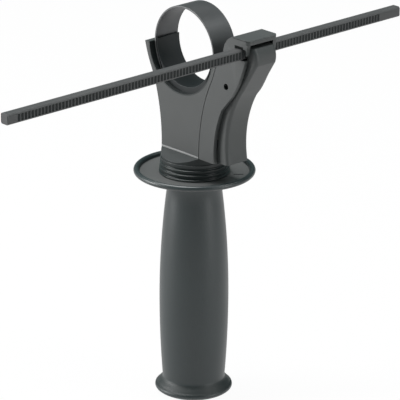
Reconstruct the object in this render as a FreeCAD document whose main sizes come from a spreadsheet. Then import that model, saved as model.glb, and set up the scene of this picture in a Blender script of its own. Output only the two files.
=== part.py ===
"""Side handle of a power drill: a strap clamp on the tool's collar, a straight
grip below it that draws the strap tight, and a latched depth stop rod.

Millimetres. The origin is the centre of the tool's collar, +Z is up along the
grip's axis, Y is the collar's axis and the depth rod's direction, and +X is
the side that carries the rod and its release lever.
"""

import FreeCAD, Part
import math
import os
import re
import Sketcher

SIZES = {
    # Tool collar, its cradle and the strap
    "tool_radius": (21.5, "collar of the tool, 43 mm across"),
    "strap_slack": (1.3, "play of the open strap on the collar"),
    "strap_thickness": (1.0, "spring steel strip"),
    "strap_width": (16.4, "along the collar"),
    "leg_angle": (22.0, "where the strap leaves the collar, below level"),
    "strap_gap": (0.6, "cradle to strap"),
    "cradle_width": (16.4, "along the collar"),
    "cradle_top": (1.2, "tips of the cradle above the axis"),
    "cradle_base": (32.0, "underside of the cradle below the axis"),
    # Saddle body
    "body_depth": (22.0, "front face to back face"),
    "wall": (2.6, "front and back walls"),
    "seat_radius": (25.0, "arc of the walls round the collar"),
    "horn_reach": (28.6, "tip of the horns from the axis"),
    "horn_drop": (1.1, "tip of the horns below the axis"),
    "horn_curve": (68.0, "radius of the horn's back"),
    "shoulder_reach": (23.0, ""),
    "shoulder_drop": (16.0, ""),
    "waist_reach": (20.2, ""),
    "waist_drop": (23.0, ""),
    "waist_curve": (110.0, "radius of the waist"),
    "foot_reach": (15.0, "half width at the bottom of the faces"),
    "face_drop": (59.2, "bottom of the front face below the axis"),
    "leg_room": (0.8, "strap legs to the body's inside"),
    "well_drop": (53.0, "floor of the well for the bolt head"),
    "shelf_height": (4.0, "cross shelf under the cradle"),
    "shelf_room": (0.55, "cross shelf to the strap legs"),
    "shelf_foot": (1.2, "rounded lower corners of the shelf"),
    "neck_radius": (18.5, "round neck under the body"),
    "neck_height": (4.1, ""),
    "ledge_angle": (24.0, "slope from the faces to the neck"),
    # Thrust collar and washer
    "collar_height": (9.1, "ribbed ring under the neck"),
    "collar_radius": (19.8, "lowest rib"),
    "rib_step": (0.25, "each rib stands out more than the one above"),
    "rib_groove": (0.45, "depth of the grooves between its ribs"),
    "rib_land": (0.8, "height of one groove"),
    "rib_pitch": (2.6, "groove to groove"),
    "rib_start": (1.9, "first groove below the neck"),
    "face_gap": (0.1, "running gap on flat faces that turn"),
    "washer_radius": (13.0, ""),
    "washer_thickness": (1.2, ""),
    "recess_gap": (0.3, "round the washer in its recess"),
    # Bolt, bridge and insert
    "bolt_radius": (4.0, "M8"),
    "bolt_play": (0.2, "bolt in its holes"),
    "bolt_length": (54.0, "under the head"),
    "head_flats": (13.0, "across the flats of the head"),
    "head_height": (5.3, ""),
    "bolt_washer_radius": (6.8, ""),
    "bolt_washer_thickness": (1.0, ""),
    "bridge_reach": (7.0, "half width of the bridge block"),
    "bridge_height": (6.0, ""),
    "bridge_drop": (49.6, "underside of the bridge below the axis"),
    "hook_play": (0.34, "bridge to strap end"),
    "hook_reach": (4.7, "tip of the strap hooks from the bolt's axis"),
    "insert_radius": (7.0, "threaded insert in the grip"),
    "insert_drop": (6.5, "top of the insert below the grip's top"),
    "insert_length": (15.0, ""),
    "insert_flange": (8.6, "radius of the insert's flange"),
    "insert_flange_height": (1.5, ""),
    "press_gap": (0.02, "drawn gap of pressed and screwed fits"),
    # Grip
    "flange_radius": (33.9, "hand guard"),
    "rim_tube": (1.6, "radius of the rolled rim"),
    "rim_rise": (0.7, "rim centre above the grip's top"),
    "floor_drop": (0.2, "dished floor below the grip's top"),
    "guard_thickness": (3.3, "of the hand guard at its root"),
    "throat_radius": (15.6, "grip under the guard"),
    "throat_drop": (11.8, "below the grip's top"),
    "throat_blend": (5.0, "fillet between guard and grip"),
    "swell_radius": (19.4, "thickest part of the grip"),
    "swell_drop": (73.6, ""),
    "crease_radius": (17.5, "crease above the end knob"),
    "crease_drop": (122.4, ""),
    "knob_radius": (21.8, ""),
    "knob_drop": (128.5, "widest part of the knob"),
    "knob_round": (3.0, "lower edge of the knob"),
    "knob_base_drop": (130.9, ""),
    "core_radius": (11.0, "hollow of the grip"),
    "core_top_drop": (29.5, "roof of the hollow below the grip's top"),
    "cap_lip_radius": (18.7, "end cap"),
    "cap_lip_height": (0.9, ""),
    "cap_plug_height": (9.0, ""),
    "cap_wall": (2.4, "skirt of the end cap"),
    # Depth stop holder
    "seam": (0.4, "holder to saddle body"),
    "holder_inset": (0.1, "holder above the neck"),
    "arm_reach": (34.0, "holder's back edge above the horn"),
    "arm_rise": (6.7, ""),
    "cap_back": (40.8, "back end of the guide's roof"),
    "roof_top": (16.6, "top of the holder"),
    "roof_thickness": (2.5, ""),
    "roof_margin": (7.3, "front of the roof from the rod's axis"),
    "roof_edge": (1.0, "rounded top edge of the roof's front"),
    "roof_corner": (2.6, "rounded corners of the roof's front"),
    "jaw_margin": (6.3, "front edge of the walls at the roof, from the rod's axis"),
    "jaw_curve": (71.0, ""),
    "elbow_margin": (4.3, "lower end of the jaw's curve from the lever's pivot"),
    "elbow_drop": (17.5, ""),
    "shin_reach": (32.8, ""),
    "shin_drop": (27.0, ""),
    "shin_curve": (60.0, ""),
    "heel_reach": (27.2, "bottom of the holder"),
    "arm_curve": (11.0, "round back of the arm"),
    "tail_room": (7.0, "channel floor behind the lever's tail"),
    "boss_room": (1.6, "channel floor behind the lever's boss"),
    "web_room": (3.3, "channel floor behind the rod"),
    "web_knee_drop": (41.0, ""),
    "web_top_rise": (3.0, ""),
    # Depth rod
    "rod_reach": (46.2, "rod's axis from the grip's axis"),
    "rod_rise": (8.25, "rod's axis above the collar's axis"),
    "rod_side": (5.8, "square section"),
    "rod_edge": (1.2, "broken edges"),
    "rod_front": (173.0, "near end from the centre"),
    "rod_back": (110.0, "far end from the centre"),
    "tooth_pitch": (2.25, ""),
    "tooth_depth": (0.6, ""),
    "tooth_height": (3.8, ""),
    "tooth_front_blank": (6.0, "smooth stretch at the near end"),
    "tooth_back_blank": (15.0, "smooth stretch at the far end"),
    "guide_gap": (0.3, "rod in its guide"),
    "guide_throw": (2.4, "room beside the rod for the latch teeth"),
    "guide_round": (0.9, "corners of the guide holes"),
    # Release lever
    "lever_gap": (0.4, "lever to the holder's walls"),
    "pivot_reach": (36.4, ""),
    "pivot_drop": (12.5, ""),
    "pin_radius": (1.75, ""),
    "pin_gap": (0.05, "lever on its pin"),
    "pin_inset": (1.4, "pin ends below the walls' faces"),
    "boss_radius": (4.2, ""),
    "latch_gap": (0.35, "latch teeth to the rod"),
    "lever_top": (11.9, ""),
    "thumb_curve": (10.0, "round top of the lever's face"),
    "thumb_top": (7.9, "top of the lever's face from the rod's axis"),
    "thumb_margin": (9.7, "widest part of the lever's face from the rod's axis"),
    "face_rise": (2.2, ""),
    "step_margin": (9.0, "bend of the lever's face from its pivot"),
    "step_drop": (14.4, ""),
    "tail_curve": (56.0, ""),
    "tail_reach": (35.1, "bottom of the lever's face"),
    "tail_drop": (58.9, ""),
    "lever_wall": (5.6, "thickness of the tail"),
    "lever_round": (2.0, "rounded edges of the face"),
    # Spring and screws
    "spring_drop": (44.6, "middle of the spring's foot"),
    "leaf_thickness": (0.6, "leaf spring under the lever's tail"),
    "leaf_width": (8.0, ""),
    "leaf_foot": (5.0, "flat on the channel's floor"),
    "leaf_hook": (2.0, "hooked into the channel's floor"),
    "leaf_gap": (0.3, "tip to the lever's tail"),
    "screw_radius": (2.0, "M4"),
    "screw_head": (3.5, "radius of the screw head"),
    "screw_head_height": (3.0, ""),
    "screw_socket": (1.5, "hexagon socket, centre to flat"),
    "screw_length": (6.0, "under the head"),
    "upper_screw_drop": (33.5, ""),
    "lower_screw_drop": (55.6, ""),
    "screw_gap": (0.2, "screw in the web"),
}

doc = FreeCAD.newDocument("side_handle")
sheet = doc.addObject("Spreadsheet::Sheet", "Sizes")
for row, (alias, (size, note)) in enumerate(SIZES.items(), start=1):
    sheet.set(f"A{row}", alias)
    sheet.set(f"B{row}", str(size))
    sheet.set(f"C{row}", note)
    sheet.setAlias(f"B{row}", alias)
doc.recompute()


def cells(expression):
    """The expression with each size's name pointing at its cell."""
    return re.sub(r"[a-z_]+", lambda word: "Sizes." + word.group()
                  if word.group() in SIZES else word.group(), str(expression))


def amount(expression):
    return float(sheet.evalExpression(cells(expression)))


def bind(item, name, expression):
    item.setExpression(name, cells(expression))


def minus(expression):
    return f"-({expression})"


def new_body(label):
    body = doc.addObject("PartDesign::Body", label)
    body.Label = label
    return body


def new_sketch(body, name, role):
    sketch = body.newObject("Sketcher::SketchObject", name)
    plane = [item for item in body.Origin.OriginFeatures if item.Role == role][0]
    sketch.AttachmentSupport = [(plane, "")]
    sketch.MapMode = "FlatFace"
    return sketch


def pin_point(sketch, edge, end, across, up):
    """Ties one end of an edge to its two coordinates."""
    for kind, expression in (("DistanceX", across), ("DistanceY", up)):
        tie = Sketcher.Constraint(kind, -1, 1, edge, end, amount(expression))
        number = sketch.addConstraint(tie)
        bind(sketch, f"Constraints[{number}]", expression)


def arc_edge(start, end, radius, turn):
    """Arc from start to end; turn is 1 anticlockwise, -1 clockwise, 2 or -2 past half a circle."""
    chord = end - start
    half = chord.Length / 2
    rise = math.sqrt(max(radius ** 2 - half ** 2, 0.0))
    across = FreeCAD.Vector(-chord.y, chord.x, 0).normalize()
    side = turn if abs(turn) == 1 else -turn / 2
    centre = (start + end) / 2 + across * rise * side
    angles = [math.atan2(point.y - centre.y, point.x - centre.x) for point in (start, end)]
    if turn < 0:
        angles.reverse()
    if angles[1] < angles[0]:
        angles[1] += 2 * math.pi
    circle = Part.Circle(centre, FreeCAD.Vector(0, 0, 1), radius)
    return Part.ArcOfCircle(circle, angles[0], angles[1])


def outline(body, name, role, steps, both_sides=False):
    """Closed sketch through the steps, each (across, up) or (across, up, radius, turn).

    A step with a radius is reached by an arc. With both_sides the steps are the
    right half from top to bottom, and the left half mirrors them.
    """
    if both_sides:
        left = []
        for index in range(len(steps) - 1, -1, -1):
            arc = steps[index + 1][2:] if index + 1 < len(steps) else ()
            left.append((minus(steps[index][0]), steps[index][1], *arc))
        steps = steps + left
    sketch = new_sketch(body, name, role)
    points = [FreeCAD.Vector(amount(step[0]), amount(step[1]), 0) for step in steps]
    ends = []
    for index, step in enumerate(steps):
        start, end = points[index - 1], points[index]
        if len(step) == 2:
            edge = sketch.addGeometry(Part.LineSegment(start, end))
            ends.append((edge, 1, 2))
        else:
            edge = sketch.addGeometry(arc_edge(start, end, amount(step[2]), step[3]))
            ends.append((edge, 1, 2) if step[3] > 0 else (edge, 2, 1))
            number = sketch.addConstraint(Sketcher.Constraint("Radius", edge, amount(step[2])))
            bind(sketch, f"Constraints[{number}]", step[2])
    for index, (edge, first, last) in enumerate(ends):
        following = ends[(index + 1) % len(ends)]
        pin_point(sketch, edge, last, steps[index][0], steps[index][1])
        sketch.addConstraint(Sketcher.Constraint("Coincident", edge, last, following[0], following[1]))
    return sketch


def circle(body, name, role, across, up, radius):
    sketch = new_sketch(body, name, role)
    centre = FreeCAD.Vector(amount(across), amount(up), 0)
    edge = sketch.addGeometry(Part.Circle(centre, FreeCAD.Vector(0, 0, 1), amount(radius)))
    pin_point(sketch, edge, 3, across, up)
    number = sketch.addConstraint(Sketcher.Constraint("Radius", edge, amount(radius)))
    bind(sketch, f"Constraints[{number}]", radius)
    return sketch


def rounded_box(body, name, role, left, right, low, high, radius):
    """Sketch of a rectangle with round corners."""
    edge = f"({radius})"
    return outline(body, name, role, [
        (f"{right} - {edge}", low), (right, f"{low} + {edge}", radius, 1),
        (right, f"{high} - {edge}"), (f"{right} - {edge}", high, radius, 1),
        (f"{left} + {edge}", high), (left, f"{high} - {edge}", radius, 1),
        (left, f"{low} + {edge}"), (f"{left} + {edge}", low, radius, 1)])


def extrude(body, kind, name, sketch, length):
    """Pad or Pocket, the same distance to both sides of its sketch."""
    feature = body.newObject("PartDesign::" + kind, name)
    feature.Profile = sketch
    feature.SideType = "Symmetric"
    bind(feature, "Length", length)
    doc.recompute()
    return feature


def revolve(body, kind, name, sketch, axis="V_Axis"):
    """Revolution or Groove, a full turn about an axis of its sketch."""
    feature = body.newObject("PartDesign::" + kind, name)
    feature.Profile = sketch
    feature.ReferenceAxis = (sketch, [axis])
    feature.Angle = 360
    doc.recompute()
    return feature


def bore(body, name, radius, low, high):
    """Round hole along Z on the grip's axis."""
    hole = body.newObject("PartDesign::SubtractiveCylinder", name)
    bind(hole, "Radius", radius)
    bind(hole, "Height", f"({high}) - ({low})")
    bind(hole, "Placement.Base.z", low)
    doc.recompute()
    return hole


def drill(body, name, radius, start, length, height):
    """Round hole along +X from start, at this height."""
    hole = body.newObject("PartDesign::SubtractiveCylinder", name)
    hole.Placement = FreeCAD.Placement(FreeCAD.Vector(), FreeCAD.Rotation(FreeCAD.Vector(0, 1, 0), 90))
    bind(hole, "Radius", radius)
    bind(hole, "Height", length)
    bind(hole, "Placement.Base.x", start)
    bind(hole, "Placement.Base.z", height)
    doc.recompute()
    return hole


# Heights that follow from one another, from the collar down

THROUGH = "body_depth * 2"
FACE = "-face_drop"
NECK = "-(face_drop + neck_height)"
TOP = "-(face_drop + neck_height + collar_height)"
WASHER_TOP = f"({TOP} - face_gap)"
WASHER_BASE = f"({TOP} - face_gap - washer_thickness)"
BRIDGE_TOP = "(bridge_height - bridge_drop)"
HEAD_BASE = "(bridge_height - bridge_drop + bolt_washer_thickness)"
INSERT_TOP = f"({TOP} - insert_drop)"
BASE = f"({TOP} - knob_base_drop)"
BOLT_HOLE = "bolt_radius + bolt_play"

# The strap's legs run straight down from the collar, closing by leg_angle

STRAP_IN = "tool_radius + strap_slack"
STRAP_OUT = "tool_radius + strap_slack + strap_thickness"
END_IN = "bridge_reach + hook_play"
END_OUT = "bridge_reach + hook_play + strap_thickness"


def tangent(radius):
    """Point where a leg at this distance from the axis leaves its circle."""
    return f"({radius}) * cos(leg_angle)", f"-({radius}) * sin(leg_angle)"


def leg_across(radius, height):
    return f"(({radius}) + ({height}) * sin(leg_angle)) / cos(leg_angle)"


def leg_height(radius, across):
    return f"-(({radius}) - ({across}) * cos(leg_angle)) / sin(leg_angle)"


# Clamp strap: round the collar, down both legs and hooked under the bridge

strap = new_body("clamp_strap")
hook_top = "-bridge_drop"
hook_base = "-(bridge_drop + strap_thickness)"
strap_path = [
    (*tangent(STRAP_OUT), STRAP_OUT, -2),
    (END_OUT, leg_height(STRAP_OUT, END_OUT)),
    (END_OUT, hook_base),
    ("hook_reach", hook_base),
    ("hook_reach", hook_top),
    (END_IN, hook_top),
    (END_IN, leg_height(STRAP_IN, END_IN)),
    tangent(STRAP_IN),
    (minus(tangent(STRAP_IN)[0]), tangent(STRAP_IN)[1], STRAP_IN, 2),
    (minus(END_IN), leg_height(STRAP_IN, END_IN)),
    (minus(END_IN), hook_top),
    ("-hook_reach", hook_top),
    ("-hook_reach", hook_base),
    (minus(END_OUT), hook_base),
    (minus(END_OUT), leg_height(STRAP_OUT, END_OUT)),
    (minus(tangent(STRAP_OUT)[0]), tangent(STRAP_OUT)[1]),
]
extrude(strap, "Pad", "strip", outline(strap, "strip_path", "XZ_Plane", strap_path), "strap_width")

# Bridge block that the strap's ends hook under, with the bolt through it

bridge = new_body("strap_bridge")
extrude(bridge, "Pad", "block", outline(bridge, "block_section", "XZ_Plane", [
    ("bridge_reach", BRIDGE_TOP), ("bridge_reach", hook_top),
    ("-bridge_reach", hook_top), ("-bridge_reach", BRIDGE_TOP)]), "strap_width")
bore(bridge, "bolt_hole", BOLT_HOLE, "-bridge_drop - strap_thickness", HEAD_BASE)

# Clamp bolt with a hexagon head, and its washer

bolt = new_body("clamp_bolt")
head_sketch = new_sketch(bolt, "head_section", "XY_Plane")
head_reach = "head_flats / (2 * cos(30))"
corners = []
for corner in range(6):
    corners.append(FreeCAD.Vector(math.cos(math.radians(60 * corner + 30)) * amount(head_reach),
                                  math.sin(math.radians(60 * corner + 30)) * amount(head_reach), 0))
for corner in range(6):
    head_sketch.addGeometry(Part.LineSegment(corners[corner], corners[(corner + 1) % 6]))
for corner in range(6):
    head_sketch.addConstraint(Sketcher.Constraint("Coincident", corner, 2, (corner + 1) % 6, 1))
    pin_point(head_sketch, corner, 1, f"{head_reach} * cos({60 * corner + 30})",
              f"{head_reach} * sin({60 * corner + 30})")
bind(head_sketch, "AttachmentOffset.Base.z", HEAD_BASE)
head = bolt.newObject("PartDesign::Pad", "head")
head.Profile = head_sketch
bind(head, "Length", "head_height")
doc.recompute()
shank = bolt.newObject("PartDesign::AdditiveCylinder", "shank")
bind(shank, "Radius", "bolt_radius")
bind(shank, "Height", "bolt_length")
bind(shank, "Placement.Base.z", f"{HEAD_BASE} - bolt_length")

bolt_washer = new_body("bolt_washer")
revolve(bolt_washer, "Revolution", "ring", outline(bolt_washer, "ring_section", "XZ_Plane", [
    (BOLT_HOLE, BRIDGE_TOP), ("bolt_washer_radius", BRIDGE_TOP),
    ("bolt_washer_radius", HEAD_BASE), (BOLT_HOLE, HEAD_BASE)]))

# Cradle: a V-sided block with a round seat for the collar

cradle = new_body("collar_cradle")
CRADLE_SIDE = f"{STRAP_IN} - strap_gap"
cradle_block = [
    (f"sqrt(({CRADLE_SIDE})^2 - cradle_top^2)", "cradle_top"),
    (*tangent(CRADLE_SIDE), CRADLE_SIDE, -1),
    (leg_across(CRADLE_SIDE, "-cradle_base"), "-cradle_base"),
]
extrude(cradle, "Pad", "block", outline(
    cradle, "block_section", "XZ_Plane", cradle_block, both_sides=True), "cradle_width")
extrude(cradle, "Pocket", "seat", circle(
    cradle, "seat_section", "XZ_Plane", "0", "0", "tool_radius"), THROUGH)

# Saddle body: two walls round the collar, a well between them, and a round neck

saddle = new_body("saddle_body")
face = [
    ("horn_reach", "-horn_drop"),
    ("shoulder_reach", "-shoulder_drop", "horn_curve", -1),
    ("waist_reach", "-waist_drop"),
    ("foot_reach", FACE, "waist_curve", 1),
]
extrude(saddle, "Pad", "block", outline(saddle, "face", "XZ_Plane", face, both_sides=True), "body_depth")
neck = saddle.newObject("PartDesign::AdditiveCylinder", "neck")
bind(neck, "Radius", "neck_radius")
bind(neck, "Height", "neck_height")
bind(neck, "Placement.Base.z", NECK)
doc.recompute()
for side, name in (("", "back_ledge"), ("-", "front_ledge")):
    ledge = outline(saddle, name + "_section", "YZ_Plane", [
        (f"{side}body_depth / 2", FACE),
        (f"{side}(body_depth / 2 + neck_radius)", f"-face_drop - neck_radius * tan(ledge_angle)"),
        (f"{side}(body_depth / 2 + neck_radius)", FACE)])
    extrude(saddle, "Pocket", name, ledge, THROUGH)
extrude(saddle, "Pocket", "seat", circle(
    saddle, "seat_section", "XZ_Plane", "0", "0", "seat_radius"), THROUGH)
WELL_SIDE = f"{STRAP_OUT} + leg_room"
WELL_END = f"{END_OUT} + leg_room"
well = [
    (tangent(WELL_SIDE)[0], "horn_drop"),
    tangent(WELL_SIDE),
    (WELL_END, leg_height(WELL_SIDE, WELL_END)),
    (WELL_END, "-well_drop"),
]
extrude(saddle, "Pocket", "well", outline(saddle, "well_section", "XZ_Plane", well, both_sides=True),
        "body_depth - 2 * wall")
SHELF_SIDE = f"{STRAP_IN} - shelf_room"
shelf = [
    (leg_across(SHELF_SIDE, "-cradle_base - shelf_height"), "-cradle_base"),
    (leg_across(SHELF_SIDE, "-cradle_base - shelf_height"), "-cradle_base - shelf_height + shelf_foot"),
    (leg_across(SHELF_SIDE, "-cradle_base - shelf_height") + " - shelf_foot",
     "-cradle_base - shelf_height", "shelf_foot", -1),
]
extrude(saddle, "Pad", "shelf", outline(
    saddle, "shelf_section", "XZ_Plane", shelf, both_sides=True), "body_depth - wall")
bore(saddle, "bolt_hole", BOLT_HOLE, f"{NECK} - neck_height", "-well_drop + neck_height / 2")
WEB = "(tail_reach - lever_wall - tail_room)"
SCREW_TIP = f"{WEB} - screw_head_height - screw_length"
for name in ("upper_screw", "lower_screw"):
    drill(saddle, name + "_hole", "screw_radius + press_gap",
          f"{SCREW_TIP} - 0.5", "horn_reach", f"-{name}_drop")

# Thrust collar: the ribbed ring that the grip turns against

thrust_collar = new_body("thrust_collar")
RIBS = 3
collar_section = [(BOLT_HOLE, NECK)]
for rib in range(RIBS + 1):
    radius = f"(collar_radius - rib_step * {RIBS - rib})"
    start = f"({NECK} - rib_start - rib_pitch * {rib})"
    if rib == 0:
        collar_section.append((radius, NECK))
    else:
        collar_section.append((radius, f"{start} + rib_pitch - rib_land - rib_groove"))
    if rib < RIBS:
        collar_section += [
            (radius, start),
            (f"{radius} - rib_groove", f"{start} - rib_groove"),
            (f"{radius} - rib_groove", f"{start} - rib_land"),
        ]
collar_section += [("collar_radius", TOP), (BOLT_HOLE, TOP)]
revolve(thrust_collar, "Revolution", "ring", outline(
    thrust_collar, "ring_section", "XZ_Plane", collar_section))

thrust_washer = new_body("thrust_washer")
revolve(thrust_washer, "Revolution", "ring", outline(thrust_washer, "ring_section", "XZ_Plane", [
    (BOLT_HOLE, WASHER_BASE), ("washer_radius", WASHER_BASE),
    ("washer_radius", WASHER_TOP), (BOLT_HOLE, WASHER_TOP)]))

# Grip: hand guard, swelling grip and end knob in one moulding


def down(drop):
    return f"({TOP} - {drop})"


def arc_through(wide, narrow, length):
    """Radius of the arc that narrows from wide to narrow over this length."""
    return f"((({length})^2 + ({wide} - {narrow})^2) / (2 * ({wide} - {narrow})))"


grip = new_body("grip")
RIM = "(flange_radius - rim_tube)"
KNOB_ARC = "(((knob_radius - crease_radius)^2 + (knob_drop - crease_drop)^2) / (2 * (knob_radius - crease_radius)))"
UNDER = "(floor_drop + guard_thickness)"
grip_section = [
    (BOLT_HOLE, WASHER_BASE),
    ("washer_radius + recess_gap", WASHER_BASE),
    ("washer_radius + recess_gap", down("floor_drop")),
    (f"{RIM} - rim_tube", down("floor_drop")),
    (f"{RIM} - rim_tube", f"{TOP} + rim_rise"),
    (RIM, f"{TOP} + rim_rise + rim_tube", "rim_tube", -1),
    ("flange_radius", f"{TOP} + rim_rise", "rim_tube", -1),
    (RIM, f"{TOP} + rim_rise - rim_tube", "rim_tube", -1),
    ("throat_radius + throat_blend", down(UNDER)),
    ("throat_radius", down(f"({UNDER} + throat_blend)"), "throat_blend", 1),
    ("throat_radius", down("throat_drop")),
    ("swell_radius", down("swell_drop"),
     arc_through("swell_radius", "throat_radius", "swell_drop - throat_drop"), -1),
    ("crease_radius", down("crease_drop"),
     arc_through("swell_radius", "crease_radius", "crease_drop - swell_drop"), -1),
    ("knob_radius", down("knob_drop"), KNOB_ARC, -1),
    ("knob_radius - knob_round", BASE, "(((knob_base_drop - knob_drop)^2 + knob_round^2) / (2 * knob_round))", -1),
    ("core_radius", BASE),
    ("core_radius", down("core_top_drop")),
    (BOLT_HOLE, down("core_top_drop")),
]
revolve(grip, "Revolution", "moulding", outline(grip, "moulding_section", "XZ_Plane", grip_section))
bore(grip, "insert_seat", "insert_radius + press_gap", f"{down('core_top_drop')} - 1", INSERT_TOP)

grip_nut = new_body("grip_nut")
INSERT_BASE = f"({INSERT_TOP} - insert_length)"
revolve(grip_nut, "Revolution", "insert", outline(grip_nut, "insert_section", "XZ_Plane", [
    ("bolt_radius + press_gap", INSERT_TOP),
    ("insert_radius", INSERT_TOP),
    ("insert_radius", down("core_top_drop")),
    ("insert_flange", down("core_top_drop")),
    ("insert_flange", down("(core_top_drop + insert_flange_height)")),
    ("bolt_radius + press_gap", down("(core_top_drop + insert_flange_height)"))]))

end_cap = new_body("end_cap")
revolve(end_cap, "Revolution", "cap", outline(end_cap, "cap_section", "XZ_Plane", [
    ("0", BASE),
    ("0", f"{BASE} - cap_lip_height"),
    ("cap_lip_radius - cap_lip_height / 2", f"{BASE} - cap_lip_height"),
    ("cap_lip_radius", f"{BASE} - cap_lip_height / 2"),
    ("cap_lip_radius", BASE),
    ("core_radius - press_gap", BASE),
    ("core_radius - press_gap", f"{BASE} + cap_plug_height"),
    ("core_radius - press_gap - cap_wall", f"{BASE} + cap_plug_height"),
    ("core_radius - press_gap - cap_wall", BASE)]))

# Depth stop holder: two walls on a web, bored for the rod and the lever's pin

holder = new_body("depth_stop_holder")
FOOT = "-face_drop + holder_inset"
ROOF_BASE = "(roof_top - roof_thickness)"
ROOF_FRONT = "(rod_reach + roof_margin)"
WEB_TOP = "(rod_reach - rod_side / 2 - web_room)"
holder_face = [
    ("foot_reach + seam", FOOT),
    ("heel_reach", FOOT),
    ("shin_reach", "-shin_drop", "shin_curve", -1),
    ("pivot_reach + elbow_margin", "-elbow_drop"),
    ("rod_reach + jaw_margin", ROOF_BASE, "jaw_curve", 1),
    (ROOF_FRONT, ROOF_BASE),
    (ROOF_FRONT, "roof_top - roof_edge"),
    (f"{ROOF_FRONT} - roof_edge", "roof_top", "roof_edge", 1),
    ("cap_back", "roof_top"),
    ("arm_reach", "arm_rise", "arm_curve", 1),
    ("horn_reach + seam", "-horn_drop"),
    ("shoulder_reach + seam", "-shoulder_drop", "horn_curve", -1),
    ("waist_reach + seam", "-waist_drop"),
    ("foot_reach + seam", FOOT, "waist_curve - seam", 1),
]
extrude(holder, "Pad", "block", outline(holder, "side_face", "XZ_Plane", holder_face[1:]), "body_depth")
channel = [
    (WEB, "-face_drop - 1"),
    (f"{ROOF_FRONT} + 1", "-face_drop - 1"),
    (f"{ROOF_FRONT} + 1", ROOF_BASE),
    (WEB_TOP, ROOF_BASE),
    (WEB_TOP, "web_top_rise"),
    ("pivot_reach - boss_radius - boss_room", "-pivot_drop - 1.5"),
    (WEB, "-web_knee_drop"),
]
extrude(holder, "Pocket", "channel", outline(holder, "channel_section", "XZ_Plane", channel),
        "body_depth - 2 * wall")
for side, name in (("", "back_corner"), ("-", "front_corner")):
    corner = outline(holder, name + "_section", "XY_Plane", [
        (ROOF_FRONT, f"{side}(body_depth / 2 - roof_corner)"),
        (f"{ROOF_FRONT} - roof_corner", f"{side}body_depth / 2", "roof_corner", -1 if side else 1),
        (f"{ROOF_FRONT} - roof_corner", f"{side}(body_depth / 2 + 1)"),
        (f"{ROOF_FRONT} + 1", f"{side}(body_depth / 2 + 1)"),
        (f"{ROOF_FRONT} + 1", f"{side}(body_depth / 2 - roof_corner)")])
    bind(corner, "AttachmentOffset.Base.z", "roof_top - roof_thickness / 2")
    extrude(holder, "Pocket", name, corner, "roof_thickness")
extrude(holder, "Pocket", "rod_guide", rounded_box(
    holder, "rod_guide_section", "XZ_Plane",
    "rod_reach - rod_side / 2 - guide_gap", "rod_reach + rod_side / 2 + guide_throw",
    "rod_rise - rod_side / 2 - guide_gap", "rod_rise + rod_side / 2 + guide_gap",
    "guide_round"), THROUGH)
extrude(holder, "Pocket", "pin_hole", circle(
    holder, "pin_hole_section", "XZ_Plane", "pivot_reach", "-pivot_drop",
    "pin_radius + press_gap"), THROUGH)
for name in ("upper_screw", "lower_screw"):
    drill(holder, name + "_hole", "screw_radius + screw_gap", "0", f"{WEB} + 9", f"-{name}_drop")
    drill(holder, name + "_recess", "screw_head + screw_gap", f"{WEB} - screw_head_height",
          "screw_head_height + 9", f"-{name}_drop")
LEAF_TOP = "(leaf_foot / 2 - spring_drop)"
LEAF_BEND = "(-spring_drop - leaf_foot / 2)"
slot = outline(holder, "spring_slot_section", "XZ_Plane", [
    (f"{WEB} - leaf_hook - press_gap", f"{LEAF_TOP} + press_gap"),
    (f"{WEB} - leaf_hook - press_gap", f"{LEAF_TOP} - leaf_thickness - press_gap"),
    (f"{WEB} + 1", f"{LEAF_TOP} - leaf_thickness - press_gap"),
    (f"{WEB} + 1", f"{LEAF_TOP} + press_gap")])
extrude(holder, "Pocket", "spring_slot", slot, "leaf_width + 2 * press_gap")

# Screws that hold the holder to the body

for name in ("upper", "lower"):
    screw = new_body(f"holder_screw_{name}")
    section = outline(screw, "screw_section", "XY_Plane", [
        ("0", "0"),
        ("-screw_length", "0"),
        ("-screw_length", "screw_radius - 0.4"),
        ("-screw_length + 0.4", "screw_radius"),
        ("0", "screw_radius"),
        ("0", "screw_head"),
        ("screw_head_height - 0.4", "screw_head"),
        ("screw_head_height", "screw_head - 0.4"),
        ("screw_head_height", "0"),
    ][1:])
    revolve(screw, "Revolution", "turned", section, "H_Axis")
    socket = screw.newObject("PartDesign::SubtractivePrism", "socket")
    socket.Polygon = 6
    socket.Placement = FreeCAD.Placement(FreeCAD.Vector(), FreeCAD.Rotation(FreeCAD.Vector(0, 1, 0), 90))
    bind(socket, "Circumradius", "screw_socket / cos(30)")
    bind(socket, "Height", "screw_head_height")
    bind(socket, "Placement.Base.x", "screw_head_height / 2")
    doc.recompute()
    bind(screw, "Placement.Base.x", f"{WEB} - screw_head_height")
    bind(screw, "Placement.Base.z", f"-{name}_screw_drop")

# Lever pin

lever_pin = new_body("lever_pin")
extrude(lever_pin, "Pad", "pin", circle(
    lever_pin, "pin_section", "XZ_Plane", "pivot_reach", "-pivot_drop", "pin_radius"),
    "body_depth - 2 * pin_inset")

# Release lever: latch teeth at the top, thumb face, and a long tail

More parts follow.
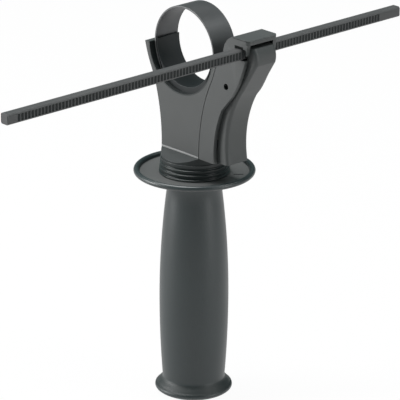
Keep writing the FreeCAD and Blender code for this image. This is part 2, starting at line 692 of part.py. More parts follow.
lever = new_body("release_lever")
LATCH = "(rod_reach + rod_side / 2 + latch_gap)"
ARM_BASE = "(rod_rise - rod_side / 2 - guide_gap * 3)"
lever_face = [
    ("rod_reach + thumb_margin", "face_rise"),
    ("rod_reach + thumb_top", "lever_top", "thumb_curve", 1),
    (LATCH, "lever_top"),
    (LATCH, ARM_BASE),
    (f"{WEB_TOP} + 2", ARM_BASE),
    (f"{WEB_TOP} + 0.6", "0"),
    ("pivot_reach", "-pivot_drop + boss_radius"),
    ("pivot_reach - boss_radius * 0.8", "-pivot_drop - boss_radius * 0.6", "boss_radius", 1),
    ("pivot_reach - boss_radius * 0.8", "-step_drop - lever_wall * 1.2"),
    ("tail_reach - lever_wall", "-tail_drop"),
    ("tail_reach", "-tail_drop"),
    ("pivot_reach + step_margin", "-step_drop", "tail_curve", -1),
]
blade = extrude(lever, "Pad", "blade", outline(lever, "side_face", "XZ_Plane", lever_face),
                "body_depth - 2 * wall - 2 * lever_gap")


def outer_edges(shape, half_width):
    """Names of the edges on both sides of the lever that have open air towards +X."""
    names = []
    for number, edge in enumerate(shape.Edges, start=1):
        middle = edge.valueAt((edge.FirstParameter + edge.LastParameter) / 2)
        beside = FreeCAD.Vector(middle.x + 0.3, 0, middle.z)
        on_side = abs(abs(middle.y) - half_width) < 1e-4 and edge.BoundBox.YLength < 1e-4
        on_face = amount("-tail_drop + 0.5") < middle.z < amount("lever_top - 0.5")
        if on_side and on_face and not shape.isInside(beside, 0.01, True):
            names.append(f"Edge{number}")
    return names


doc.recompute()
half_width = amount("body_depth / 2 - wall - lever_gap")
rounding = lever.newObject("PartDesign::Fillet", "rounding")
rounding.Base = (blade, outer_edges(blade.Shape, half_width))
bind(rounding, "Radius", "lever_round")
doc.recompute()
extrude(lever, "Pocket", "pin_hole", circle(
    lever, "pin_hole_section", "XZ_Plane", "pivot_reach", "-pivot_drop", "pin_radius + pin_gap"), THROUGH)
notch_sketch = outline(lever, "latch_notch_section", "XY_Plane", [
    (LATCH, "-tooth_pitch * 2.45"), (f"{LATCH} + tooth_depth", "-tooth_pitch * 2"),
    (LATCH, "-tooth_pitch * 1.55"), (f"{LATCH} - 1", "-tooth_pitch * 2")])
bind(notch_sketch, "AttachmentOffset.Base.z", f"(lever_top + {ARM_BASE}) / 2")
notch = extrude(lever, "Pocket", "latch_notch", notch_sketch, f"lever_top - {ARM_BASE} + 1")
latch = lever.newObject("PartDesign::LinearPattern", "latch_teeth")
latch.Originals = [notch]
latch.Direction = ([item for item in lever.Origin.OriginFeatures if item.Role == "Y_Axis"][0], [""])
latch.Occurrences = 5
bind(latch, "Length", "tooth_pitch * 4")
lever.Tip = latch
doc.recompute()

# Leaf spring: hooked into the channel's floor, its arm under the lever's tail

spring = new_body("lever_spring")
LEAF_OUT = f"({WEB} + press_gap + leaf_thickness)"
LEAF_TIP = "(tail_reach - lever_wall - leaf_gap)"
TIP_HEIGHT = f"({LEAF_BEND} - {LEAF_TIP} + {LEAF_OUT})"
leaf = outline(spring, "leaf_section", "XZ_Plane", [
    (f"{WEB} - leaf_hook", LEAF_TOP),
    (f"{WEB} - leaf_hook", f"{LEAF_TOP} - leaf_thickness"),
    (f"{WEB} + press_gap", f"{LEAF_TOP} - leaf_thickness"),
    (f"{WEB} + press_gap", f"{LEAF_BEND} - leaf_thickness * (sqrt(2) - 1)"),
    (f"{LEAF_TIP} - leaf_thickness * sqrt(0.5)", f"{TIP_HEIGHT} - leaf_thickness * sqrt(0.5)"),
    (LEAF_TIP, TIP_HEIGHT),
    (LEAF_OUT, LEAF_BEND),
    (LEAF_OUT, LEAF_TOP)])
extrude(spring, "Pad", "leaf", leaf, "leaf_width")

# Depth rod: square bar with a rack along the side that faces the lever

rod = new_body("depth_rod")
HALF = "rod_side / 2"
rod_section = [
    ("rod_edge", "0"), ("rod_side - rod_edge", "0"),
    ("rod_side", "rod_edge", "rod_edge", 1), ("rod_side", "rod_side - rod_edge"),
    ("rod_side - rod_edge", "rod_side", "rod_edge", 1), ("rod_edge", "rod_side"),
    ("0", "rod_side - rod_edge", "rod_edge", 1), ("0", "rod_edge"),
    ("rod_edge", "0", "rod_edge", 1),
][1:]
bar = extrude(rod, "Pad", "bar", outline(rod, "bar_section", "XZ_Plane", [
    (f"rod_reach - {HALF} + {step[0]}", f"rod_rise - {HALF} + {step[1]}", *step[2:])
    for step in rod_section]), "rod_front + rod_back")
bind(rod, "Placement.Base.y", "(rod_back - rod_front) / 2")
first_tooth = "tooth_front_blank + tooth_pitch / 2 - (rod_front + rod_back) / 2"
tooth_sketch = outline(rod, "tooth_section", "XY_Plane", [
    (f"rod_reach + {HALF} + 1", f"{first_tooth}"),
    (f"rod_reach + {HALF}", f"{first_tooth} + tooth_pitch * 0.4"),
    (f"rod_reach + {HALF} - tooth_depth", f"{first_tooth}"),
    (f"rod_reach + {HALF}", f"{first_tooth} - tooth_pitch * 0.4")])
bind(tooth_sketch, "AttachmentOffset.Base.z", "rod_rise")
tooth = extrude(rod, "Pocket", "tooth", tooth_sketch, "tooth_height")
rack = rod.newObject("PartDesign::LinearPattern", "rack")
rack.Originals = [tooth]
rack.Direction = ([item for item in rod.Origin.OriginFeatures if item.Role == "Y_Axis"][0], [""])
TOOTHED = "rod_front + rod_back - tooth_front_blank - tooth_back_blank"
tooth_count = int(amount(f"floor(({TOOTHED}) / tooth_pitch)"))
rack.Occurrences = tooth_count
bind(rack, "Length", f"tooth_pitch * {tooth_count - 1}")
rod.Tip = rack
doc.recompute()

# Check every object, then write each piece

NODES = [
    "saddle_body", "collar_cradle", "thrust_collar", "depth_stop_holder",
    "holder_screw_upper", "holder_screw_lower", "lever_pin", "lever_spring",
    "clamp_strap", "strap_bridge", "clamp_bolt", "bolt_washer",
    "release_lever", "depth_rod",
    "grip", "grip_nut", "end_cap", "thrust_washer",
]
doc.recompute()
for item in doc.Objects:
    if "Invalid" in item.State or "Error" in item.State:
        raise RuntimeError(f"{item.Name} failed: {item.State}")
os.makedirs("parts", exist_ok=True)
for label in NODES:
    piece = doc.getObjectsByLabel(label)[0]
    if piece.Shape.isNull() or not piece.Shape.isValid() or len(piece.Shape.Solids) != 1:
        raise RuntimeError(f"{label} is not one valid solid")
    piece.Shape.exportStep(f"parts/{label}.step")
    box = piece.Shape.BoundBox
    print(f"{label}: volume {piece.Shape.Volume:.1f}, x {box.XMin:.2f}..{box.XMax:.2f}, "
          f"y {box.YMin:.2f}..{box.YMax:.2f}, z {box.ZMin:.2f}..{box.ZMax:.2f}")
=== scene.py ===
"""Looks of the drill's side handle: finished surfaces, light, floor and camera."""

from math import cos, pi, radians, sin, sqrt

import bmesh
import bpy
from mathutils import Matrix, Vector


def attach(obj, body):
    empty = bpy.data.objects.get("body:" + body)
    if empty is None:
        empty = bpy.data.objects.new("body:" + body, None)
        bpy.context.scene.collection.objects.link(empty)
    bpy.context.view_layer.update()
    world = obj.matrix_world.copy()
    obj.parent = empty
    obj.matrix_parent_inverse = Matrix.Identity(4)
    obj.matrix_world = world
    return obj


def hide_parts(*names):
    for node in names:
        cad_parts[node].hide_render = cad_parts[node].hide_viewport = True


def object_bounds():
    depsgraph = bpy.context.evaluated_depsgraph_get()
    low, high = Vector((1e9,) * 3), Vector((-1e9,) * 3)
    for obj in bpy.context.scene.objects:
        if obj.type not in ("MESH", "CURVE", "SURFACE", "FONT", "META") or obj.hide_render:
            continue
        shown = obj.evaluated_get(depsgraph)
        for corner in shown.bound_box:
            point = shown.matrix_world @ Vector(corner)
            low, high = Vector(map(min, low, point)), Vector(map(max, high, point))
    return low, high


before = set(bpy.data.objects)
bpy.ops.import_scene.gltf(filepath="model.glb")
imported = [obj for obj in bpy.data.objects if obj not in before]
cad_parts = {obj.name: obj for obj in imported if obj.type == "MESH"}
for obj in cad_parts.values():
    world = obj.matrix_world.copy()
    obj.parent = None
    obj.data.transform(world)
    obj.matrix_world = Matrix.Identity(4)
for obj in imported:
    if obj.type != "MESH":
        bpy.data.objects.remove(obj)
cad_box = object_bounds()

MM = 0.001

# Corners up to this angle in degrees are shown smooth, and faces within the next are one face
SMOOTH_UP_TO = 35.0
FLAT_WITHIN = 0.6

# Distances in metres within which points are one point, or lie on an end face
SAME_PLACE = 0.3 * MM
END_FACE = 0.01 * MM
NODE_MERGE = 0.000002
SPIN_MERGE = 0.000001

# Heights and reaches on the handle, in metres
LEDGE = -0.05925
CRADLE_SEAT = 0.0257
KNOB_SHADE_BAND = (-0.1996, -0.1950)
LIT_GUARD_FLOOR = (-0.0728, -0.0723)
RACK_FACE = (0.0483, 0.04904)
RACK_BAND = (0.00633, 0.01017)


# Materials

def new_group(name, inputs, outputs):
    """Shader node group with these named sockets: (name, type, default)."""
    group = bpy.data.node_groups.new(name, "ShaderNodeTree")
    for title, kind, default in inputs:
        socket = group.interface.new_socket(title, in_out="INPUT", socket_type=kind)
        if default is not None:
            socket.default_value = default
    for title, kind in outputs:
        group.interface.new_socket(title, in_out="OUTPUT", socket_type=kind)
    entry = group.nodes.new("NodeGroupInput")
    leave = group.nodes.new("NodeGroupOutput")
    return group, entry, leave


def moulded_surface():
    """Fine spark grain, slow mottling and rubbed edges of a moulded plastic."""
    group, entry, leave = new_group(
        "moulded_surface",
        [("Color", "NodeSocketColor", (0.03, 0.03, 0.03, 1)),
         ("Rubbed Color", "NodeSocketColor", (0.08, 0.08, 0.08, 1)),
         ("Roughness", "NodeSocketFloat", 0.45),
         ("Grain Scale", "NodeSocketFloat", 1400.0),
         ("Grain Depth", "NodeSocketFloat", 0.3),
         ("Mottle", "NodeSocketFloat", 0.12),
         ("Wear", "NodeSocketFloat", 0.35)],
        [("Color", "NodeSocketColor"), ("Roughness", "NodeSocketFloat"), ("Normal", "NodeSocketVector")])
    nodes, links = group.nodes, group.links
    place = nodes.new("ShaderNodeTexCoord")
    grain = nodes.new("ShaderNodeTexNoise")
    grain.inputs["Detail"].default_value = 2.0
    links.new(place.outputs["Object"], grain.inputs["Vector"])
    links.new(entry.outputs["Grain Scale"], grain.inputs["Scale"])
    slow = nodes.new("ShaderNodeTexNoise")
    slow.inputs["Scale"].default_value = 45.0
    slow.inputs["Detail"].default_value = 3.0
    links.new(place.outputs["Object"], slow.inputs["Vector"])
    bump = nodes.new("ShaderNodeBump")
    bump.inputs["Distance"].default_value = 0.00008
    links.new(entry.outputs["Grain Depth"], bump.inputs["Strength"])
    links.new(grain.outputs["Fac"], bump.inputs["Height"])
    links.new(bump.outputs["Normal"], leave.inputs["Normal"])

    edge = nodes.new("ShaderNodeNewGeometry")
    sharp = nodes.new("ShaderNodeMapRange")
    sharp.inputs["From Min"].default_value = 0.52
    sharp.inputs["From Max"].default_value = 0.62
    links.new(edge.outputs["Pointiness"], sharp.inputs["Value"])
    patchy = nodes.new("ShaderNodeMath")
    patchy.operation = "MULTIPLY"
    links.new(sharp.outputs["Result"], patchy.inputs[0])
    links.new(slow.outputs["Fac"], patchy.inputs[1])
    worn = nodes.new("ShaderNodeMath")
    worn.operation = "MULTIPLY"
    links.new(patchy.outputs["Value"], worn.inputs[0])
    links.new(entry.outputs["Wear"], worn.inputs[1])

    shade = nodes.new("ShaderNodeMapRange")
    shade.inputs["From Min"].default_value = 0.3
    shade.inputs["From Max"].default_value = 0.7
    shade.inputs["To Min"].default_value = -0.5
    shade.inputs["To Max"].default_value = 0.5
    links.new(slow.outputs["Fac"], shade.inputs["Value"])
    amount = nodes.new("ShaderNodeMath")
    amount.operation = "MULTIPLY_ADD"
    links.new(shade.outputs["Result"], amount.inputs[0])
    links.new(entry.outputs["Mottle"], amount.inputs[1])
    amount.inputs[2].default_value = 1.0
    tinted = nodes.new("ShaderNodeVectorMath")
    tinted.operation = "SCALE"
    links.new(entry.outputs["Color"], tinted.inputs[0])
    links.new(amount.outputs["Value"], tinted.inputs["Scale"])
    rubbed = nodes.new("ShaderNodeMix")
    rubbed.data_type = "RGBA"
    links.new(worn.outputs["Value"], rubbed.inputs["Factor"])
    links.new(tinted.outputs["Vector"], rubbed.inputs["A"])
    links.new(entry.outputs["Rubbed Color"], rubbed.inputs["B"])
    links.new(rubbed.outputs["Result"], leave.inputs["Color"])

    rough = nodes.new("ShaderNodeMath")
    rough.operation = "MULTIPLY"
    links.new(entry.outputs["Roughness"], rough.inputs[0])
    links.new(amount.outputs["Value"], rough.inputs[1])
    links.new(rough.outputs["Value"], leave.inputs["Roughness"])
    return group


def rolled_steel():
    """Faint rolling lines along the strip, cloudy oxide and brighter edges."""
    group, entry, leave = new_group(
        "rolled_steel",
        [("Color", "NodeSocketColor", (0.1, 0.1, 0.1, 1)),
         ("Bare Color", "NodeSocketColor", (0.35, 0.35, 0.36, 1)),
         ("Roughness", "NodeSocketFloat", 0.35),
         ("Line Depth", "NodeSocketFloat", 0.2),
         ("Wear", "NodeSocketFloat", 0.5)],
        [("Color", "NodeSocketColor"), ("Roughness", "NodeSocketFloat"), ("Normal", "NodeSocketVector")])
    nodes, links = group.nodes, group.links
    place = nodes.new("ShaderNodeTexCoord")
    along = nodes.new("ShaderNodeMapping")
    along.inputs["Scale"].default_value = (120.0, 2600.0, 120.0)
    links.new(place.outputs["Object"], along.inputs["Vector"])
    lines = nodes.new("ShaderNodeTexNoise")
    lines.inputs["Scale"].default_value = 1.0
    lines.inputs["Detail"].default_value = 2.0
    links.new(along.outputs["Vector"], lines.inputs["Vector"])
    bump = nodes.new("ShaderNodeBump")
    bump.inputs["Distance"].default_value = 0.00004
    links.new(entry.outputs["Line Depth"], bump.inputs["Strength"])
    links.new(lines.outputs["Fac"], bump.inputs["Height"])
    links.new(bump.outputs["Normal"], leave.inputs["Normal"])
    cloud = nodes.new("ShaderNodeTexNoise")
    cloud.inputs["Scale"].default_value = 90.0
    cloud.inputs["Detail"].default_value = 4.0
    links.new(place.outputs["Object"], cloud.inputs["Vector"])
    edge = nodes.new("ShaderNodeNewGeometry")
    sharp = nodes.new("ShaderNodeMapRange")
    sharp.inputs["From Min"].default_value = 0.51
    sharp.inputs["From Max"].default_value = 0.6
    links.new(edge.outputs["Pointiness"], sharp.inputs["Value"])
    worn = nodes.new("ShaderNodeMath")
    worn.operation = "MULTIPLY"
    links.new(sharp.outputs["Result"], worn.inputs[0])
    links.new(entry.outputs["Wear"], worn.inputs[1])
    bare = nodes.new("ShaderNodeMix")
    bare.data_type = "RGBA"
    links.new(worn.outputs["Value"], bare.inputs["Factor"])
    links.new(entry.outputs["Color"], bare.inputs["A"])
    links.new(entry.outputs["Bare Color"], bare.inputs["B"])
    links.new(bare.outputs["Result"], leave.inputs["Color"])
    spread = nodes.new("ShaderNodeMapRange")
    spread.inputs["To Min"].default_value = 0.8
    spread.inputs["To Max"].default_value = 1.2
    links.new(cloud.outputs["Fac"], spread.inputs["Value"])
    rough = nodes.new("ShaderNodeMath")
    rough.operation = "MULTIPLY"
    links.new(entry.outputs["Roughness"], rough.inputs[0])
    links.new(spread.outputs["Result"], rough.inputs[1])
    links.new(rough.outputs["Value"], leave.inputs["Roughness"])
    return group


MOULDED = moulded_surface()
ROLLED = rolled_steel()


def finish_of(name, group, values, **shader):
    """Material that takes colour, roughness and normal from a group."""
    material = bpy.data.materials.new(name)
    material.use_nodes = True
    nodes, links = material.node_tree.nodes, material.node_tree.links
    principled = nodes["Principled BSDF"]
    surface = nodes.new("ShaderNodeGroup")
    surface.node_tree = group
    for title, value in values.items():
        surface.inputs[title].default_value = value
    links.new(surface.outputs["Color"], principled.inputs["Base Color"])
    links.new(surface.outputs["Roughness"], principled.inputs["Roughness"])
    links.new(surface.outputs["Normal"], principled.inputs["Normal"])
    for title, value in shader.items():
        principled.inputs[title.replace("_", " ")].default_value = value
    return material


def recoloured(material, color, roughness, tests):
    """Gives the places that pass every test in one of the lists their own colour.

    A test is (axis, operation, limit in metres), where the axis x, y or z is the
    place on the piece, and r is the distance from the collar's axis.
    """
    nodes, links = material.node_tree.nodes, material.node_tree.links
    principled = nodes["Principled BSDF"]
    place = nodes.new("ShaderNodeTexCoord")
    split = nodes.new("ShaderNodeSeparateXYZ")
    links.new(place.outputs["Object"], split.inputs["Vector"])
    flat = nodes.new("ShaderNodeVectorMath")
    flat.operation = "MULTIPLY"
    flat.inputs[1].default_value = (1, 0, 1)
    links.new(place.outputs["Object"], flat.inputs[0])
    reach = nodes.new("ShaderNodeVectorMath")
    reach.operation = "LENGTH"
    links.new(flat.outputs["Vector"], reach.inputs[0])
    source = {"x": split.outputs["X"], "y": split.outputs["Y"], "z": split.outputs["Z"],
              "r": reach.outputs["Value"]}
    masks = []
    for group in tests:
        mask = None
        for axis, operation, limit in group:
            test = nodes.new("ShaderNodeMath")
            test.operation = operation
            links.new(source[axis], test.inputs[0])
            test.inputs[1].default_value = limit
            if mask is None:
                mask = test.outputs["Value"]
            else:
                both = nodes.new("ShaderNodeMath")
                both.operation = "MULTIPLY"
                links.new(mask, both.inputs[0])
                links.new(test.outputs["Value"], both.inputs[1])
                mask = both.outputs["Value"]
        masks.append(mask)
    mask = masks[0]
    for other in masks[1:]:
        either = nodes.new("ShaderNodeMath")
        either.operation = "MAXIMUM"
        links.new(mask, either.inputs[0])
        links.new(other, either.inputs[1])
        mask = either.outputs["Value"]
    for title, value, kind in (("Base Color", color, "RGBA"), ("Roughness", roughness, "FLOAT")):
        plain = principled.inputs[title].links[0].from_socket
        mix = nodes.new("ShaderNodeMix")
        mix.data_type = kind
        mix.inputs["B"].default_value = value
        links.new(mask, mix.inputs["Factor"])
        links.new(plain, mix.inputs["A"])
        links.new(mix.outputs["Result"], principled.inputs[title])


def between(axis, span):
    """Tests for a place within a span of one axis."""
    return [(axis, "GREATER_THAN", span[0]), (axis, "LESS_THAN", span[1])]


def grey(level, tint=0.0):
    """Grey of this level, cooler as the tint rises."""
    return (level * (1 - tint), level, level * (1 + tint), 1)


HOUSING = {"Color": (0.040, 0.043, 0.0425, 1), "Rubbed Color": grey(0.10), "Roughness": 0.45,
           "Grain Depth": 0.35}

dark_plastic = finish_of("dark_plastic", MOULDED, HOUSING, Specular_IOR_Level=0.5)
grip_plastic = finish_of("grip_plastic", MOULDED, {
    "Color": (0.015, 0.0225, 0.0235, 1), "Rubbed Color": grey(0.08), "Roughness": 0.40,
    "Grain Scale": 1100.0, "Grain Depth": 0.45}, Specular_IOR_Level=0.62)
rod_plastic = finish_of("rod_plastic", MOULDED, {
    "Color": grey(0.045, 0.01), "Rubbed Color": grey(0.12), "Roughness": 0.5,
    "Grain Scale": 900.0, "Grain Depth": 0.3}, Specular_IOR_Level=0.5)
# Painted shade: the cradle is near-black, for the shade inside the saddle's seat
cradle_shade_plastic = finish_of("cradle_shade_plastic", MOULDED, {
    "Color": (0.010, 0.013, 0.014, 1), "Rubbed Color": grey(0.04), "Roughness": 0.55,
    "Grain Depth": 0.35}, Specular_IOR_Level=0.3)
neck_plastic = finish_of("neck_plastic", MOULDED, {
    "Color": (0.014, 0.019, 0.019, 1), "Rubbed Color": grey(0.07), "Roughness": 0.35,
    "Grain Depth": 0.2}, Specular_IOR_Level=0.5)
shadow_plastic = finish_of("shadow_plastic", MOULDED, {
    "Color": (0.004, 0.005, 0.005, 1), "Rubbed Color": grey(0.006), "Roughness": 0.8,
    "Grain Depth": 0.2}, Specular_IOR_Level=0.1)
# Painted highlight: light grey for the bright line along the bottom edge of the saddle's front face
bead_highlight_plastic = finish_of("bead_highlight_plastic", MOULDED, {
    "Color": grey(0.20, 0.0), "Rubbed Color": grey(0.3), "Roughness": 0.4,
    "Grain Depth": 0.2}, Specular_IOR_Level=0.5)
black_steel = finish_of("black_steel", ROLLED, {
    "Color": grey(0.075, 0.03), "Bare Color": grey(0.25), "Roughness": 0.46}, Metallic=0.85)
plain_steel = finish_of("plain_steel", ROLLED, {
    "Color": grey(0.50, 0.01), "Bare Color": grey(0.6), "Roughness": 0.3}, Metallic=1.0)
machined_brass = finish_of("machined_brass", ROLLED, {
    "Color": (0.62, 0.42, 0.16, 1), "Bare Color": (0.75, 0.55, 0.25, 1), "Roughness": 0.3},
    Metallic=1.0)
saddle_plastic = finish_of("saddle_plastic", MOULDED, HOUSING, Specular_IOR_Level=0.5)

# Painted shade: the saddle is darker below the ledge and inside the cradle seat, where shade falls under
# the head and in the seat
recoloured(saddle_plastic, (0.008, 0.012, 0.012, 1), 0.55, [
    [("z", "LESS_THAN", LEDGE)], [("r", "LESS_THAN", CRADLE_SEAT)]])
# Painted shade: the grip is darker across the knob's concave flare
recoloured(grip_plastic, (0.010, 0.015, 0.015, 1), 0.55, [between("z", KNOB_SHADE_BAND)])
# Painted light: the guard's upward-facing floor is lighter, for the light falling on it
recoloured(grip_plastic, (0.075, 0.077, 0.076, 1), 0.6, [between("z", LIT_GUARD_FLOOR)])
recoloured(rod_plastic, (0.010, 0.013, 0.013, 1), 0.7, [between("x", RACK_FACE) + between("z", RACK_BAND)])


# Pieces

def settle(piece, body, material, node=None):
    """Puts a piece in the scene, on its body and in its finish."""
    bpy.context.scene.collection.objects.link(piece)
    piece.data.materials.clear()
    piece.data.materials.append(material)
    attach(piece, body)
    if node:
        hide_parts(node)
    return piece


def meshed(bm, name, smooth_up_to=SMOOTH_UP_TO):
    """Mesh of this name, smooth but for corners over this angle in degrees."""
    mesh = bpy.data.meshes.new(name)
    bm.to_mesh(mesh)
    bm.free()
    mesh.shade_smooth()
    mesh.set_sharp_from_angle(angle=radians(smooth_up_to))
    return mesh


def rounded(bm, edges, width, segments):
    """Bevels these edges by a width in mm."""
    bmesh.ops.bevel(bm, geom=edges, offset=width * MM, offset_type="OFFSET", affect="EDGES",
                    segments=segments, profile=0.5, clamp_overlap=True, material=-1)


def eased(node, body, material, width, segments=2, sharper=28.0, moves=(), ends=0.0):
    """The node with its edges rounded by this width in mm.

    moves shifts corners in the XZ plane, from (x, z) to (x, z) in mm. ends rounds
    the two end faces across Y by its own width.
    """
    bm = bmesh.new()
    bm.from_mesh(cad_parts[node].data)
    bmesh.ops.remove_doubles(bm, verts=bm.verts, dist=NODE_MERGE)
    bmesh.ops.dissolve_limit(bm, angle_limit=radians(FLAT_WITHIN), verts=bm.verts, edges=bm.edges)
    for start, end in moves:
        for vert in bm.verts:
            aside, above = vert.co.x - start[0] * MM, vert.co.z - start[1] * MM
            if abs(aside) < SAME_PLACE and abs(above) < SAME_PLACE:
                vert.co.x += (end[0] - start[0]) * MM
                vert.co.z += (end[1] - start[1]) * MM
    if ends:
        low = min(vert.co.y for vert in bm.verts)
        high = max(vert.co.y for vert in bm.verts)
        rims = [edge for edge in bm.edges if all(
            min(vert.co.y - low, high - vert.co.y) < END_FACE for vert in edge.verts)]
        rounded(bm, rims, ends, 3)
    edges = [edge for edge in bm.edges
             if len(edge.link_faces) == 2 and edge.calc_face_angle(0.0) > radians(sharper)]
    rounded(bm, edges, width, segments)
    name = node + "_finish"
    piece = bpy.data.objects.new(name, meshed(bm, name))
    settle(piece, body, material, node)
    weighted = piece.modifiers.new("even_normals", "WEIGHTED_NORMAL")
    weighted.keep_sharp = True
    return piece


for node, body, slot, material, width in (
        ("saddle_body", "frame", "dark_plastic", saddle_plastic, 0.35),
        ("collar_cradle", "frame", "dark_plastic", cradle_shade_plastic, 0.3),
        ("depth_stop_holder", "frame", "dark_plastic", dark_plastic, 0.4),
        ("thrust_collar", "frame", "dark_plastic", neck_plastic, 0.15),
        ("clamp_strap", "clamp", "black_steel", black_steel, 0.15)):
    eased(node, body, material, width)
THICKER_TAIL = (((33.04, -21.12), (29.0, -26.0)), ((29.5, -58.9), (26.3, -58.9)))
SHORTER_LEAF = (((29.2, -53.6), (25.9, -53.6)), ((28.78, -54.0), (25.4, -53.9)))
eased("release_lever", "lever", dark_plastic, 0.3, moves=THICKER_TAIL)
eased("lever_spring", "frame", plain_steel, 0.1, moves=SHORTER_LEAF)
eased("depth_rod", "rod", rod_plastic, 0.1, ends=1.1)


def arc(centre, radius, start, end, steps):
    """Points on an arc, angles in degrees."""
    return [(centre[0] + radius * cos(radians(start + (end - start) * step / steps)),
             centre[1] + radius * sin(radians(start + (end - start) * step / steps)))
            for step in range(steps + 1)]


def swelling(wide, height, radius, start, end, steps):
    """Side of the grip: a long arc that is widest at this height."""
    return [(wide - radius + sqrt(radius ** 2 - (start + (end - start) * step / steps - height) ** 2),
             start + (end - start) * step / steps) for step in range(steps + 1)]


def turned(name, node, body, material, profile, steps=144, smooth_up_to=32.0):
    """Solid of revolution through (radius, height) points in mm.

    A profile that starts away from the axis is closed back to its start. One that
    starts on the axis ends on it too.
    """
    bm = bmesh.new()
    verts = [bm.verts.new((radius * MM, 0.0, height * MM)) for radius, height in profile]
    edges = [bm.edges.new((verts[index - 1], verts[index])) for index in range(1, len(verts))]
    if profile[0][0] > 0.001:
        edges.append(bm.edges.new((verts[-1], verts[0])))
    bmesh.ops.spin(bm, geom=verts + edges, cent=(0, 0, 0), axis=(0, 0, 1), angle=2 * pi,
                   steps=steps, use_merge=True)
    bmesh.ops.remove_doubles(bm, verts=bm.verts, dist=SPIN_MERGE)
    bmesh.ops.recalc_face_normals(bm, faces=bm.faces)
    piece = bpy.data.objects.new(name, meshed(bm, name, smooth_up_to))
    return settle(piece, body, material, node)


# Sizes of the grip and its end cap, in mm
BOLT_HOLE = 4.2
WASHER_SEAT = 13.3
WASHER_FLOOR = -73.7
CORE = 11.0
CORE_ROOF = -101.9
GRIP_FOOT = -203.3
SWELL = 19.4
WAIST = -146.0
PLUG = 10.98
PLUG_TOP = -194.3
PLUG_INSIDE = 8.6
CAP_FLOOR = -203.0
UNDERSIDE = -204.2

grip_profile = (
    [(BOLT_HOLE, CORE_ROOF), (BOLT_HOLE, WASHER_FLOOR), (WASHER_SEAT, WASHER_FLOOR),
     (WASHER_SEAT, -73.0)]
    + arc((13.7, -73.0), 0.4, 180, 90, 3)
    + [(29.9, -72.6)]
    + arc((29.9, -71.8), 0.8, -90, 0, 4)
    + arc((32.3, -71.7), 1.6, 180, -75, 18)
    + [(29.0, -74.25), (24.5, -75.2)]
    + arc((21.6, -81.6), 6.0, 95, 180, 10)
    + swelling(SWELL, WAIST, 504.4, -84.2, WAIST, 14)
    + swelling(SWELL, WAIST, 627.6, -149.0, -193.2, 10)
    + [(17.6, -194.4), (17.75, -195.1), (18.1, -195.8), (18.6, -196.4), (19.3, -197.1),
       (20.0, -197.8), (20.45, -198.4)]
    + arc((20.1, -200.3), 1.7, 68, -50, 9)
    + [(20.3, -202.3), (19.2, -202.9), (17.9, GRIP_FOOT), (CORE, GRIP_FOOT), (CORE, CORE_ROOF)])
end_cap_profile = [
    (0.0, CAP_FLOOR), (0.0, UNDERSIDE), (16.2, UNDERSIDE), (16.7, -204.1), (17.55, -203.5),
    (17.5, GRIP_FOOT), (PLUG, GRIP_FOOT), (PLUG, PLUG_TOP), (PLUG_INSIDE, PLUG_TOP),
    (PLUG_INSIDE, CAP_FLOOR), (0.0, CAP_FLOOR)]
turned("grip_finish", "grip", "grip_body", grip_plastic, grip_profile)
turned("end_cap_finish", "end_cap", "grip_body", grip_plastic, end_cap_profile)


def block(name, body, material, corners, width, spin=0.0, place=(0, 0)):
    """Small block between two corners in mm, its edges rounded, turned about Z at a place."""
    low, high = corners
    bm = bmesh.new()
    bmesh.ops.create_cube(bm, size=1.0)
    for vert in bm.verts:
        vert.co = Vector([(low[axis] + (high[axis] - low[axis]) * (vert.co[axis] + 0.5)) * MM
                          for axis in range(3)])
    if width:
        rounded(bm, list(bm.edges), width, 2)
    bmesh.ops.rotate(bm, verts=bm.verts, cent=(0, 0, 0), matrix=Matrix.Rotation(radians(spin), 3, "Z"))
    bmesh.ops.translate(bm, verts=bm.verts, vec=(place[0] * MM, place[1] * MM, 0))
    return settle(bpy.data.objects.new(name, meshed(bm, name)), body, material)


# Painted shade: a near-black dash on the guard floor for the shade in a small recess
block("guard_mark_shadow", "grip_body", shadow_plastic,
      ((-2.6, -0.45, -72.62), (2.6, 0.45, -72.56)), 0.0, 47.0, (20.5, 14.1))
block("roof_seam", "frame", shadow_plastic,
      ((41.2, -11.04, 16.15), (52.6, -10.9, 16.35)), 0.0)
# Painted highlight: a light grey strip along the bottom edge of the front face
block("front_bead_highlight", "frame", bead_highlight_plastic,
      ((-14.8, -11.2, -59.2), (14.8, -10.8, -58.1)), 0.15)
# Painted shade: a near-black sheet on the holder's face where the opening above the rod lies in shade
block("guide_mouth_shadow", "frame", shadow_plastic,
      ((42.9, -11.04, 11.0), (49.3, -10.9, 12.6)), 0.0)

for node, material in (
        ("holder_screw_upper", plain_steel), ("holder_screw_lower", plain_steel),
        ("lever_pin", shadow_plastic),
        ("strap_bridge", plain_steel), ("clamp_bolt", plain_steel),
        ("bolt_washer", plain_steel), ("grip_nut", machined_brass),
        ("thrust_washer", plain_steel)):
    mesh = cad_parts[node].data
    mesh.materials.clear()
    mesh.materials.append(material)


# Floor, light and camera

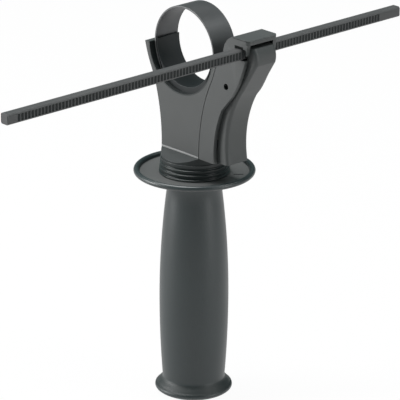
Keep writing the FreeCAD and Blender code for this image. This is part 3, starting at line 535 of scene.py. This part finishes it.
def shown_white(material, share):
    """Lets the camera and reflections see this material as white by that share."""
    nodes, links = material.node_tree.nodes, material.node_tree.links
    principled, output = nodes["Principled BSDF"], nodes["Material Output"]
    path = nodes.new("ShaderNodeLightPath")
    glossy = nodes.new("ShaderNodeMath")
    glossy.operation = "MAXIMUM"
    links.new(path.outputs["Is Camera Ray"], glossy.inputs[0])
    links.new(path.outputs["Is Glossy Ray"], glossy.inputs[1])
    clear = nodes.new("ShaderNodeMath")
    clear.operation = "MAXIMUM"
    links.new(glossy.outputs["Value"], clear.inputs[0])
    links.new(path.outputs["Is Transmission Ray"], clear.inputs[1])
    part = nodes.new("ShaderNodeMath")
    part.operation = "MULTIPLY"
    links.new(clear.outputs["Value"], part.inputs[0])
    part.inputs[1].default_value = share
    white = nodes.new("ShaderNodeEmission")
    white.inputs["Strength"].default_value = 1.0
    mix = nodes.new("ShaderNodeMixShader")
    links.new(part.outputs["Value"], mix.inputs["Fac"])
    links.new(principled.outputs["BSDF"], mix.inputs[1])
    links.new(white.outputs["Emission"], mix.inputs[2])
    links.new(mix.outputs["Shader"], output.inputs["Surface"])


FLOOR_GAP = 0.00005
FLOOR_REACH = 6.0
floor_height = cad_box[0][2] - FLOOR_GAP
bm = bmesh.new()
bmesh.ops.create_grid(bm, x_segments=1, y_segments=1, size=FLOOR_REACH,
                      matrix=Matrix.Translation((0, 0, floor_height)))
floor_mesh = bpy.data.meshes.new("studio_floor")
bm.to_mesh(floor_mesh)
bm.free()
studio_floor = bpy.data.objects.new("studio_floor", floor_mesh)
bpy.context.scene.collection.objects.link(studio_floor)
floor_paint = bpy.data.materials.new("floor_paint")
floor_paint.use_nodes = True
paint = floor_paint.node_tree.nodes["Principled BSDF"]
paint.inputs["Base Color"].default_value = (0.6, 0.6, 0.6, 1)
paint.inputs["Roughness"].default_value = 0.9
shown_white(floor_paint, 0.96)
floor_mesh.materials.append(floor_paint)

world = bpy.data.worlds.new("studio")
bpy.context.scene.world = world
world.use_nodes = True
nodes, links = world.node_tree.nodes, world.node_tree.links
backdrop = nodes["Background"]
backdrop.inputs["Color"].default_value = (1, 1, 1, 1)
surround = nodes.new("ShaderNodeBackground")
surround.inputs["Color"].default_value = (0.68, 1, 1, 1)
surround.inputs["Strength"].default_value = 0.15
path = nodes.new("ShaderNodeLightPath")
mix = nodes.new("ShaderNodeMixShader")
links.new(path.outputs["Is Camera Ray"], mix.inputs["Fac"])
links.new(surround.outputs["Background"], mix.inputs[1])
links.new(backdrop.outputs["Background"], mix.inputs[2])
links.new(mix.outputs["Shader"], nodes["World Output"].inputs["Surface"])


def softbox(name, place, target, size, power):
    """Rectangular lamp at a place, turned to a target, with its power in watts."""
    lamp = bpy.data.lights.new(name, "AREA")
    lamp.shape = "RECTANGLE"
    lamp.size, lamp.size_y = size
    lamp.energy = power
    holder = bpy.data.objects.new(name, lamp)
    holder.location = place
    holder.rotation_euler = (Vector(target) - Vector(place)).to_track_quat("-Z", "Y").to_euler()
    bpy.context.scene.collection.objects.link(holder)


GUARD = (0, 0, -0.07)
SADDLE = (0, 0, -0.05)
softbox("key_softbox", (-0.95, -1.05, 0.35), GUARD, (0.6, 1.0), 23.0)
softbox("side_softbox", (1.25, 0.35, 0.25), GUARD, (0.4, 0.9), 6.0)
softbox("top_softbox", (-0.35, -0.1, 1.3), SADDLE, (0.8, 0.8), 26.0)
softbox("back_softbox", (0.6, 0.5, 1.1), SADDLE, (0.6, 0.6), 5.0)

# The camera's place in metres, and its turn in degrees
CAMERA_PLACE = (1.21602, -1.12964, 0.51649)
CAMERA_AZIMUTH = -42.999
CAMERA_ELEVATION = 20.0663
CAMERA_ROLL = 0.2865
camera_data = bpy.data.cameras.new("camera")
camera_data.sensor_width = 36.0
camera_data.lens = 285.9
camera_data.clip_end = 50.0
camera = bpy.data.objects.new("camera", camera_data)
turn = (Matrix.Rotation(radians(90 + CAMERA_AZIMUTH), 4, "Z")
        @ Matrix.Rotation(radians(90 - CAMERA_ELEVATION), 4, "X")
        @ Matrix.Rotation(radians(CAMERA_ROLL), 4, "Z"))
camera.matrix_world = Matrix.Translation(CAMERA_PLACE) @ turn
bpy.context.scene.collection.objects.link(camera)
bpy.context.scene.camera = camera

bpy.context.scene.view_settings.view_transform = "Standard"
